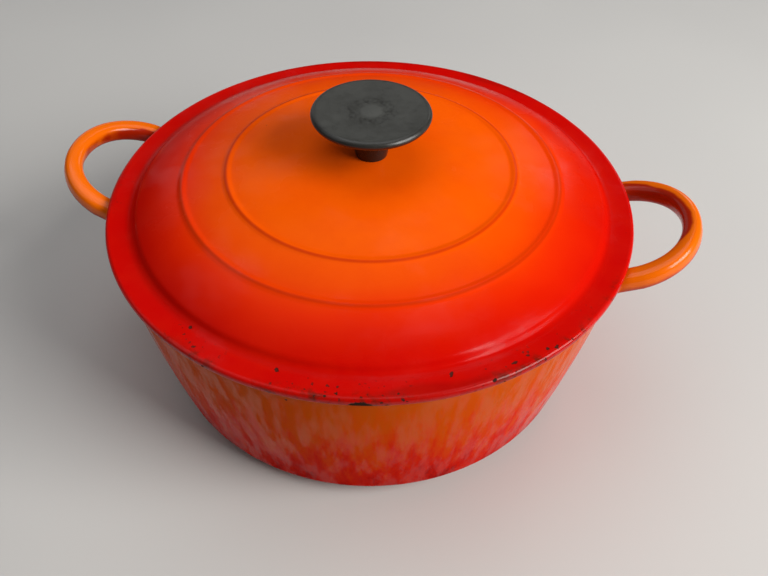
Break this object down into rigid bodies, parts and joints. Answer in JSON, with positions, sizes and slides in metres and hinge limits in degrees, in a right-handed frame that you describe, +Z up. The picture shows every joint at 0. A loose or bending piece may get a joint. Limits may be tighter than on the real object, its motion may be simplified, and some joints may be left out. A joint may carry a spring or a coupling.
{
  "type": "dutch oven",
  "caption": "Round enamelled cast iron dutch oven with side loop handles and a domed, lift-off lid with a screwed-on mushroom knob.",
  "frame": {"origin": "centre of the base, on the surface that the pot stands on", "axes": "+Z up along the pot's axis, +X through one loop handle, +Y the front-to-back way between the handles"},
  "size_m": [0.3128, 0.252, 0.1434],
  "materials": {
    "enamel": "glossy orange-red vitreous enamel over cast iron",
    "phenolic": "worn matt phenolic moulding",
    "brass": "turned",
    "steel": "plated"
  },
  "bodies": {
    "pot": {"pot": "enamel"},
    "lid": {"lid": "enamel", "flat_washer": "steel"},
    "screw": {"knob_screw": "steel", "lock_washer": "steel"},
    "knob": {"knob": "phenolic", "knob_insert": "brass"}
  },
  "joints": [
    {"name": "lid_lift", "type": "slide", "parent": "pot", "child": "lid", "axis": [0, 0, 1], "range_m": [0, 0.2]},
    {"name": "screw_turn", "type": "hinge", "parent": "lid", "child": "screw", "pos_m": [0, 0, 0.112], "axis": [0, 0, 1], "range_deg": [-3240, 0]},
    {"name": "knob_rise", "type": "slide", "parent": "lid", "child": "knob", "axis": [0, 0, 1], "range_m": [0, 0.009]}
  ],
  "couplings": [
    {"joint": "screw_turn", "follows": "knob_rise", "rad_per_m": -6283.2}
  ]
}
